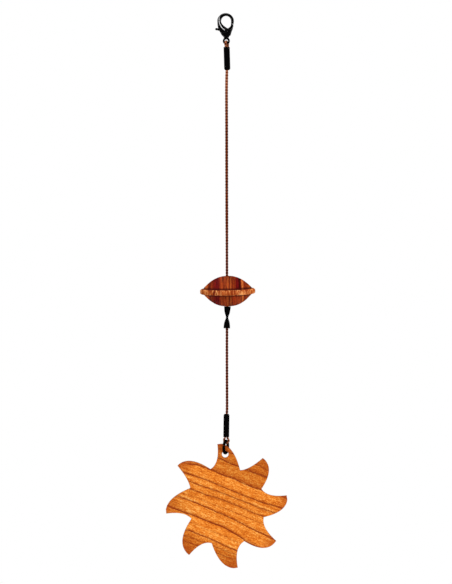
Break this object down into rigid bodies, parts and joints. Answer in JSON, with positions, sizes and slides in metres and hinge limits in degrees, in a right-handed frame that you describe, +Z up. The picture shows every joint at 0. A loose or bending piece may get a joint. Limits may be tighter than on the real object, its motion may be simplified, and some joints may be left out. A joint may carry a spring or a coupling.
{
  "type": "wind chime striker line",
  "caption": "Wind chime striker line: a sprung black clasp, braided cord, turned wooden striker on a crimped stop, and a flat wooden sun sail on a link ring.",
  "frame": {"origin": "the inside top of the clasp's hook, at mid depth, where the line hangs", "axes": "+Z up along the hanging line, -Y out of the sail's front face, +X to the viewer's right with the clasp's finger knob on the left"},
  "size_m": [0.0607, 0.0276, 0.2775],
  "materials": {
    "black_metal": "gloss",
    "braided_cord": "matte",
    "striker_wood": "satin",
    "cherry_wood": "satin"
  },
  "bodies": {
    "line": {"clasp_body": "black_metal", "clasp_rivet": "black_metal", "top_loop": "braided_cord", "top_ferrule": "black_metal", "cord_upper": "braided_cord", "striker": "striker_wood", "stop_ferrule": "black_metal", "cord_lower": "braided_cord", "bottom_ferrule": "black_metal", "bottom_loop": "braided_cord", "link_ring": "black_metal", "sail": "cherry_wood"},
    "trigger": {"clasp_trigger": "black_metal"}
  },
  "joints": [
    {"name": "trigger_hinge", "type": "hinge", "parent": "line", "child": "trigger", "pos_m": [-0.00005, 0, -0.0078], "axis": [0, -1, 0], "range_deg": [0, 28], "stiffness_Nm_per_rad": 0.008, "springref_deg": -20.05}
  ]
}
